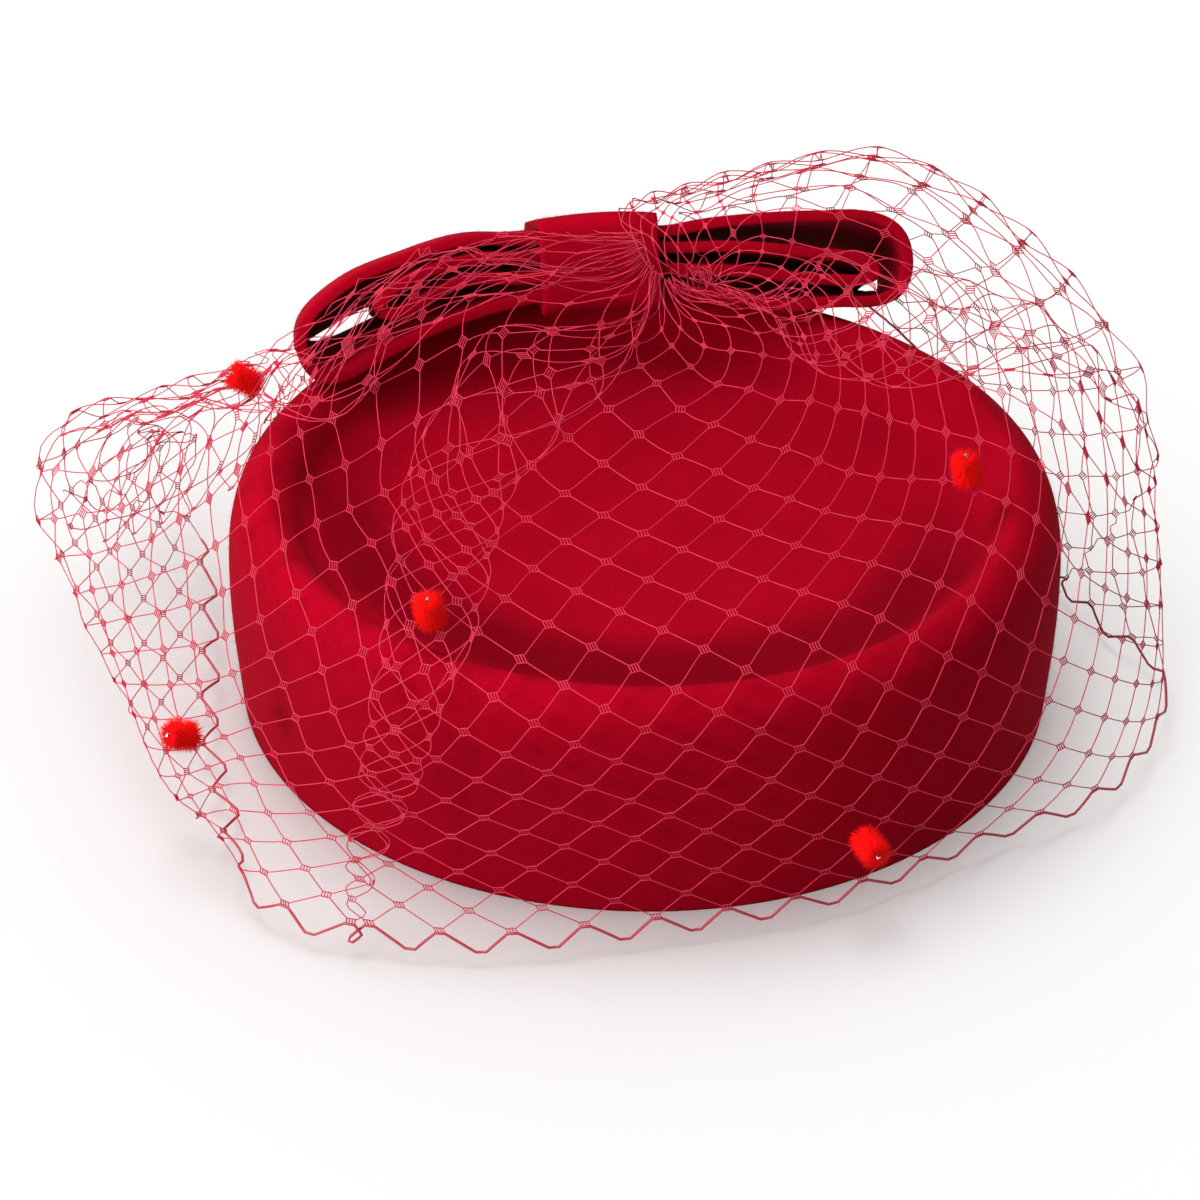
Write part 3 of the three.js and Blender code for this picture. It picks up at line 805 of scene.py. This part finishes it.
# Each row is a share of the way down the sheet and the rib that lies there
LEFT_COLUMN = [(0, 8.0), (0.3, 8.75), (0.6, 9.15), (0.72, 9.2), (0.85, 9.25), (1, 8.9)]
RIGHT_COLUMN = [(0, 11.5), (0.2, 11.4), (0.45, 11.25), (0.67, 11.35), (0.85, 11.6), (1, 11.7)]
TUCK = [(0, 9.2), (0.3, 9.0), (0.5, 9.1), (0.72, 9.4), (0.85, 9.6), (1, 9.6)]
LEFT_FOLD_RIB = 4.4
RIGHT_FOLD_RIB = 16.4
FOLDED_SHARE = 0.6
FOLD_RUN = 0.75
SHORTEST_FOLD = 2
FULL_SIDE_FOLD = 60
FULL_TUCK = 40
TUCK_SLOPE = 30
LAYER_HEIGHT = 2.4
COLUMN_STEPS = 8
# Shares of the way down: where the cells change from the top's width, and where folds begin
TOP_CELLS_END = (0.5, 0.7)
EVEN_UNTIL = 0.02
EVEN_RUN = 0.25
hem_along = distances(sheet[:, -1])
hem_ends = [table[-1][1] for table in (LEFT_COLUMN, RIGHT_COLUMN)]
hem_left, hem_right = np.interp(hem_ends, rib_places, hem_along)
left_column = round(hem_left / CELL_WIDTH)
right_column = left_column + math.ceil((hem_right - hem_left) / CELL_WIDTH)
NET_COLUMNS = right_column + round((hem_along[-1] - hem_right) / CELL_WIDTH)
columns = np.linspace(0, NET_COLUMNS, NET_COLUMNS * COLUMN_STEPS + 1)


def fold_over(along, spare, middle):
    """Net along a line with its spare length folded back, and how far it has turned."""
    turned = ease((along - middle) / max(FOLD_RUN * spare, SHORTEST_FOLD) + 0.5)
    return along - spare * turned, turned


def lay_side(along, length, room, fold_place):
    """Net from a straight column out to an end: folded once, and closer and closer."""
    spare = max(length - room, 0) * FOLDED_SHARE
    kept = length - spare
    power = max(kept / room, 1)
    fold_share = np.clip(fold_place / room, 0.05, 0.95)
    middle = kept * (1 - (1 - fold_share) ** (1 / power)) + spare / 2
    laid, turned = fold_over(along, spare, middle)
    return room * (1 - np.clip(1 - laid / kept, 0, 1) ** power), turned * min(spare / FULL_SIDE_FOLD, 1)


def lay_level(down, line):
    """Ribs and heights of all columns across one level of the sheet."""
    along = distances(line)
    ribs = [smooth_table(table, down) for table in (LEFT_COLUMN, RIGHT_COLUMN, TUCK)]
    ribs += [LEFT_FOLD_RIB, RIGHT_FOLD_RIB]
    left, right, tuck, left_fold, right_fold = (np.interp(rib, rib_places, along) for rib in ribs)
    cell = np.interp(down, TOP_CELLS_END, [CELL_WIDTH_ON_TOP, CELL_WIDTH])
    across = (columns - left_column) * cell
    beyond = (columns - right_column) * cell
    spare = max((right_column - left_column) * cell - (right - left), 0)
    middle = np.clip(tuck - left, 0, right - left) + spare / 2
    laid, turned = fold_over(across, spare, middle)
    near = ease(1 - (middle - across - spare / 2) / TUCK_SLOPE) * min(spare / FULL_TUCK, 1)
    past_left, past_right = np.maximum(-across, 0), np.maximum(beyond, 0)
    left_laid, left_turned = lay_side(past_left, left_column * cell, left, left - left_fold)
    right_length = (NET_COLUMNS - right_column) * cell
    right_room = along[-1] - right
    right_laid, right_turned = lay_side(past_right, right_length, right_room, right_fold - right)
    place = np.where(across < 0, left - left_laid, np.where(beyond > 0, right + right_laid, left + laid))
    even = columns / NET_COLUMNS * along[-1]
    place = even + (place - even) * ease((down - EVEN_UNTIL) / EVEN_RUN)
    height = LAYER_HEIGHT * ((1 - turned) * near + left_turned + right_turned)
    return np.interp(place, along, rib_places), height


levels = [lay_level(j / DOWN_STEPS, sheet[:, j]) for j in range(DOWN_STEPS + 1)]
column_ribs, column_heights = (np.stack(grids, axis=1) for grids in zip(*levels))
print("net:", NET_COLUMNS, "columns, straight at", left_column, "and", right_column)

# %% [markdown]
# Rows are spaced from the hem up. In the middle they climb to the right, because the net is
# longer from hem to bow at the left. Close to the gather the net bunches up in ripples, and a
# little slack everywhere keeps it from lying like a drawn grid. The slack is noise with a
# fixed seed, so that every run gives the same net.

# %% Where a column and a row of the net lie
NET_ROWS = 28
# Each row is a count of net rows above the hem and the share of the way down the sheet
ROWS_DOWN = [(0, 1), (11.2, 0.69), (19.6, 0.32), (NET_ROWS, 0.02)]
ROW_CLIMB = 0.49
CLIMB_COLUMNS = 4
CLIMB_ROWS_ABOVE_HEM = 12
CLIMB_ROWS_BELOW_GATHER = 9
RIPPLE = 2.2
RIPPLE_COLUMNS = 1.7
RIPPLE_SWAY = 3
RIPPLES_END = 0.5
RIPPLES_RUN = 0.45
SLACK = 0.45
SCALLOP = 2.2
# Where scallops fade, as a rib or a share of the way down, and over how much of it
LEFT_SCALLOPS = (4.5, 3)
RIGHT_SCALLOPS = (15, 2)
SCALLOPS_FROM = (0.2, 0.2)
WANDER = 0.06
WANDER_SCALE = (0.45, 0.3)
NOISE_LAYER = 7.1
NOISE_SEED = 5
NET_CLEARANCE = 0.6
FLOOR_CLEARANCE = 0.5
noise.seed_set(NOISE_SEED)


def net_place(column, row):
    """Points on the hat, in metres, of places counted in columns and rows of the net."""
    spots = [(c * WANDER_SCALE[0], r * WANDER_SCALE[1], NOISE_LAYER) for c, r in zip(column, row)]
    wander = np.array([noise.noise_vector(spot) for spot in spots])
    above = NET_ROWS - row
    climb = np.clip(column - right_column, -CLIMB_COLUMNS, CLIMB_COLUMNS) * ROW_CLIMB
    climb = climb * ease(above / CLIMB_ROWS_ABOVE_HEM) * ease(row / CLIMB_ROWS_BELOW_GATHER)
    above = above + climb + WANDER * wander[:, 0] * ease(above / 2)
    down = smooth_table(ROWS_DOWN, np.clip(above, 0, NET_ROWS))
    step = (column + WANDER * wander[:, 1]) * COLUMN_STEPS / RIB_STEPS
    rib = read_sheet(column_ribs[:, :, None], step, down)[:, 0]
    height = read_sheet(column_heights[:, :, None], step, down)[:, 0]
    point = read_sheet(sheet, rib, down)
    normal = read_sheet(sheet_normals, rib, down)
    bunched = ease((RIPPLES_END - down) / RIPPLES_RUN)
    sway = RIPPLE_SWAY * np.sin(row * 0.31 + column * 0.17)
    wave = np.sin(column / RIPPLE_COLUMNS * math.tau + sway)
    left_fold = 1 - ease((rib - LEFT_SCALLOPS[0]) / LEFT_SCALLOPS[1])
    right_fold = ease((rib - RIGHT_SCALLOPS[0]) / RIGHT_SCALLOPS[1])
    folded = np.maximum(left_fold, right_fold) * ease((down - SCALLOPS_FROM[0]) / SCALLOPS_FROM[1])
    height += RIPPLE * bunched * (0.5 + 0.5 * wave) + SLACK * wander[:, 2]
    height += SCALLOP * folded * (0.5 + 0.5 * np.cos(column * math.tau))
    point = clear_of_crown(point + normal * height[:, None], NET_CLEARANCE)
    point[:, 2] = np.maximum(point[:, 2], FLOOR_CLEARANCE)
    return hat_place(point)


print("rows:", NET_ROWS)

# %% [markdown]
# ## The net's thread
#
# In this net each thread runs in a zigzag. Where two of them meet they lie side by side for
# two millimetres, joined by four short rungs, which show as little ladders. Each thread is
# a line through the corners of its ladders, given a round section as a curve object and
# then made a mesh. That is quicker and lighter than extruding thousands of tubes.

# %% Draw threads, rungs and selvedge
LADDER_HALF_WIDTH = 0.072
LADDER_HALF_HEIGHT = 0.125
THREAD_RADIUS = 0.12
RUNG_RADIUS = 0.14
SELVEDGE_RADIUS = 0.3
SELVEDGE_FROM_RIB = 4.7
LEG_STEPS = 4
RUNGS = 4
RUNG_SPREAD = 0.85
RUNG_LEAN = 0.18


def round_threads(name, lines, radius, sides):
    """One mesh of round threads along lines of points."""
    curve = bpy.data.curves.new(name, "CURVE")
    curve.dimensions = "3D"
    curve.bevel_depth = radius * MM
    curve.bevel_resolution = sides // 2 - 2
    curve.use_fill_caps = True
    for line in lines:
        spline = curve.splines.new("POLY")
        spline.points.add(len(line) - 1)
        spline.points.foreach_set("co", np.c_[line, np.ones(len(line))].ravel())
    holder = bpy.data.objects.new(name, curve)
    bpy.context.scene.collection.objects.link(holder)
    seen = holder.evaluated_get(bpy.context.evaluated_depsgraph_get())
    mesh = bpy.data.meshes.new_from_object(seen)
    bpy.data.objects.remove(holder)
    bpy.data.curves.remove(curve)
    return mesh


def thread_line(upper_row):
    """The zigzag between a row of ladders and the next, as places in columns and rows."""
    places = []
    for k in range(2 * NET_COLUMNS + 1):
        column = k / 2
        above = (k + upper_row) % 2 == 0
        row = upper_row + LADDER_HALF_HEIGHT if above else upper_row + 1 - LADDER_HALF_HEIGHT
        places += [(column - LADDER_HALF_WIDTH, row), (column + LADDER_HALF_WIDTH, row)]
    line = [places[0]]
    for start, end in zip(places, places[1:]):
        steps = LEG_STEPS if abs(end[1] - start[1]) > 0.1 else 1
        leg = np.array(end) - start
        line += [tuple(np.array(start) + leg * (n + 1) / steps) for n in range(steps)]
    return np.array(line)


def ladder_rungs(row):
    """Both ends of every rung in a row of ladders, as places in columns and rows."""
    lean = LADDER_HALF_WIDTH * RUNG_LEAN
    lines = []
    for k in range(row % 2, 2 * NET_COLUMNS + 1, 2):
        for n in range(RUNGS):
            aside = LADDER_HALF_WIDTH * (2 * n / (RUNGS - 1) - 1) * RUNG_SPREAD
            lines.append([(k / 2 + aside - lean, row - LADDER_HALF_HEIGHT)])
            lines[-1].append((k / 2 + aside + lean, row + LADDER_HALF_HEIGHT))
    return lines


thread_lines = [net_place(*thread_line(row).T) for row in range(NET_ROWS)]
rungs = np.array([line for row in range(1, NET_ROWS) for line in ladder_rungs(row)])
rung_points = net_place(rungs[:, :, 0].ravel(), rungs[:, :, 1].ravel()).reshape(-1, 2, 3)
net_mesh = round_threads("veil_net", thread_lines, THREAD_RADIUS, 6)
net = add_piece("veil_net", net_mesh, thread, "net", "veil")
ladder_mesh = round_threads("veil_ladders", rung_points, RUNG_RADIUS, 4)
ladders = add_piece("veil_ladders", ladder_mesh, thread, "net")
shown_from = np.interp(SELVEDGE_FROM_RIB, rib_places, hem_along) / CELL_WIDTH
hem_places = [place for place in thread_line(NET_ROWS - 1) if place[0] > shown_from]
hem_line = net_place(*np.array(hem_places).T)
selvedge_mesh = round_threads("veil_selvedge", [hem_line], SELVEDGE_RADIUS, 6)
add_piece("veil_selvedge", selvedge_mesh, edging, "net")
print("threads:", len(net.data.polygons), "rungs:", len(ladders.data.polygons), "faces")

# %% [markdown]
# ## Chenille dots
#
# Each dot is a short length of chenille: two twisted wires that hold a brush of soft fibres.
# Hair would not be part of a mesh, and thousands of separate objects would be slow, so the
# fibres are thin three-sided needles in one joined mesh. Each dot stands on the net along
# the sheet's own outward direction.

# %% Make the dots


def needles(name, roots, tips, width):
    """Thin three-sided needles in one mesh, one for each root and tip."""
    along = tips - roots
    side = np.cross(along, (0.31, 0.52, 0.8))
    side /= np.linalg.norm(side, axis=1, keepdims=True)
    other = np.cross(along, side)
    other /= np.linalg.norm(other, axis=1, keepdims=True)
    angles = [k * math.tau / 3 for k in range(3)]
    base = [roots + width * (math.cos(a) * side + math.sin(a) * other) for a in angles]
    points = np.stack([*base, tips], axis=1).reshape(-1, 3)
    corners = np.array([(0, 2, 1), (0, 1, 3), (1, 2, 3), (2, 0, 3)])
    faces = (np.arange(len(roots))[:, None, None] * 4 + corners).reshape(-1, 3)
    mesh = bpy.data.meshes.new(name)
    mesh.from_pydata(points.tolist(), [], faces.tolist())
    return mesh


DOTS = 5
DOT_FIBRES = 2600
DOT_LENGTH = 7.0
DOT_RADIUS = 3.75
FIBRE_WIDTH = 0.11
CAP_SHARE = 0.35
WIRE_RADIUS = 0.22
WIRE_TURNS = 2.5
sheet_points = hat_place(sheet.reshape(-1, 3))
fibre_count = 0
for number in range(1, DOTS + 1):
    random = np.random.default_rng(number)
    low, high = (np.array(corner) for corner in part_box(f"dot_{number}"))
    middle = (low + high) / 2
    nearest = np.argmin(np.linalg.norm(sheet_points - middle, axis=1))
    axis = sheet_normals.reshape(-1, 3)[nearest]
    side = np.cross(axis, (0.2, 0.9, 0.3))
    side /= np.linalg.norm(side)
    other = np.cross(axis, side)
    turn = random.uniform(0, math.tau, DOT_FIBRES)[:, None]
    outward = np.cos(turn) * side + np.sin(turn) * other
    height = random.uniform(-0.5, 0.5, (DOT_FIBRES, 1)) * DOT_LENGTH
    reach = DOT_RADIUS * random.uniform(0.85, 1.1, (DOT_FIBRES, 1))
    capped = random.uniform(size=(DOT_FIBRES, 1)) < CAP_SHARE
    end = np.sign(height) * DOT_LENGTH * random.uniform(0.46, 0.56, (DOT_FIBRES, 1))
    roots = middle + (axis * height * 0.8 + outward * 0.3) * MM
    tip_height = np.where(capped, end, height * random.uniform(0.95, 1.15, (DOT_FIBRES, 1)))
    tip_reach = np.where(capped, reach * random.uniform(0.15, 0.95, (DOT_FIBRES, 1)), reach)
    tips = middle + (axis * tip_height + outward * tip_reach) * MM
    tuft = needles(f"dot_{number}_tuft", roots, tips, FIBRE_WIDTH * MM)
    add_piece(f"dot_{number}_tuft", tuft, chenille, "chenille", f"dot_{number}")
    steps = np.linspace(-1, 1, 24)
    strands = []
    for start in (0, math.pi):
        twist = start + steps * WIRE_TURNS * math.pi
        ring = np.cos(twist)[:, None] * side + np.sin(twist)[:, None] * other
        strands.append(middle + (axis * steps[:, None] * DOT_LENGTH * 0.56 + ring * WIRE_RADIUS) * MM)
    add_piece(f"dot_{number}_wire", round_threads("wire", strands, WIRE_RADIUS, 6), wire, None)
    fibre_count += DOT_FIBRES
print("dots:", DOTS, "with", fibre_count, "fibres")

# %% [markdown]
# ## Loose fibres on the felt
#
# Brushed felt is never quite smooth: short fibres stand off the surface and soften every
# edge. They are scattered over the finished felt by area, with a fixed seed, as needles far
# thinner than a pixel, so they show only as a soft edge and a slight haze. The modifiers
# leave the felt's triangles in any order, so they are sorted before the draws.

# %% Scatter loose fibres
SORT_DIRECTION = np.array([1.0, 1.7, 2.9])
FIBRE_LEAN = 0.7
FIBRE_RADIUS = 0.022
ROOT_DEPTH = 0.1
LOWEST_FIBRE = 0.1


def loose_fibres(piece, count, seed, length):
    """Needles over a felt piece, in one mesh."""
    seen = piece.evaluated_get(bpy.context.evaluated_depsgraph_get())
    mesh = seen.to_mesh()
    mesh.calc_loop_triangles()
    points = np.zeros(len(mesh.vertices) * 3)
    mesh.vertices.foreach_get("co", points)
    points = points.reshape(-1, 3)
    corners = np.zeros(len(mesh.loop_triangles) * 3, int)
    mesh.loop_triangles.foreach_get("vertices", corners)
    triangles = points[corners.reshape(-1, 3)]
    seen.to_mesh_clear()
    first = np.argmin((triangles @ SORT_DIRECTION).round(7), axis=1)
    a, b, c = (triangles[np.arange(len(first)), (first + k) % 3] for k in range(3))
    order = np.lexsort(((a + b + c) / 3).round(6).T)
    a, b, c = a[order], b[order], c[order]
    normals = np.cross(b - a, c - a)
    areas = np.linalg.norm(normals, axis=1)
    normals /= np.maximum(areas, 1e-12)[:, None]
    random = np.random.default_rng(seed)
    pick = random.choice(len(areas), count, p=areas / areas.sum())
    u, v = random.uniform(size=(2, count, 1))
    flip = u + v > 1
    u, v = np.where(flip, 1 - u, u), np.where(flip, 1 - v, v)
    roots = a[pick] + (b - a)[pick] * u + (c - a)[pick] * v
    direction = normals[pick] + FIBRE_LEAN * random.standard_normal((count, 3))
    direction /= np.linalg.norm(direction, axis=1, keepdims=True)
    lengths = length * random.uniform(0.35, 1, (count, 1)) * MM
    tips = roots + direction * lengths
    roots = roots - normals[pick] * ROOT_DEPTH * MM
    above = np.minimum(roots, tips)[:, 2] > LOWEST_FIBRE * MM
    return needles(piece.name + "_fibres", roots[above], tips[above], FIBRE_RADIUS * MM)


# Columns: piece, fibres, seed, longest fibre
FIBRES = [
    (crown, 30000, 11, 1.3),
    (bow_outer, 9000, 12, 1.2),
    (bow_inner, 5000, 13, 1.0),
    (knot, 3000, 14, 1.2),
]
for piece, count, seed, length in FIBRES:
    add_piece(piece.name + "_fibres", loose_fibres(piece, count, seed, length), felt, "felt")
print("loose fibres:", sum(row[1] for row in FIBRES))

# %% [markdown]
# ## Floor
#
# The hat stands on a plain white table. A sweep of paper could stand behind it, but no wall
# shows in the photograph, so one wide flat face is enough. It is stage, not part of the hat.

# %% Floor
bm = bmesh.new()
bmesh.ops.create_grid(bm, x_segments=1, y_segments=1, size=4)
floor = bpy.data.objects.new("floor", mesh_from(bm, "floor"))
bpy.context.scene.collection.objects.link(floor)
floor_finish = bpy.data.materials.new("white_table")
floor_finish.use_nodes = True
set_shader(floor_finish, {"Base Color": (0.96, 0.96, 0.96, 1), "Roughness": 0.9})
floor.data.materials.append(floor_finish)
print("floor laid")

# %% [markdown]
# ## Light
#
# The studio light is soft. A bright even sky whitens the table and leaves a soft shadow at
# the hat's foot, and a wide lamp high above deepens it a little. A lamp at the left front
# gives the bright left wall, and a smaller one over the hat's left lights the dish. As in
# the studio picture these two leave the table alone, so they light the hat's pieces only.

# %% Lamps and sky


def soft_lamp(name, place, size, power):
    """A round lamp, aimed at the point that the camera looks at."""
    lamp = bpy.data.lights.new(name, "AREA")
    lamp.shape = "DISK"
    lamp.size = size
    lamp.energy = power
    holder = bpy.data.objects.new(name, lamp)
    holder.location = hat_place(place)
    towards = Vector(hat_place(SIGHT_POINT)) - holder.location
    holder.rotation_euler = towards.to_track_quat("-Z", "Y").to_euler()
    bpy.context.scene.collection.objects.link(holder)
    return holder


key_lamp = soft_lamp("key_lamp", (-1080, -930, 480), size=0.5, power=23)
near_lamp = soft_lamp("near_lamp", (-180, -80, 400), size=0.26, power=2.8)
soft_lamp("top_lamp", (-250, 350, 1500), size=1.0, power=8)
hat_pieces = bpy.data.collections.new("hat_pieces")
for piece in bpy.context.scene.collection.objects:
    if piece.type == "MESH" and piece != floor:
        hat_pieces.objects.link(piece)
for lamp in (key_lamp, near_lamp):
    lamp.light_linking.receiver_collection = hat_pieces
sky = bpy.data.worlds.new("pale_sky")
sky.use_nodes = True
sky.node_tree.nodes["Background"].inputs["Color"].default_value = (1, 1, 1, 1)
sky.node_tree.nodes["Background"].inputs["Strength"].default_value = 0.8
bpy.context.scene.world = sky
bpy.context.scene.view_settings.view_transform = "Standard"

# %% [markdown]
# ## Last update of the scene
#
# Threads and fibres may stand a little proud of the solids, and nothing more.

# %% Update the scene
bpy.context.view_layer.update()
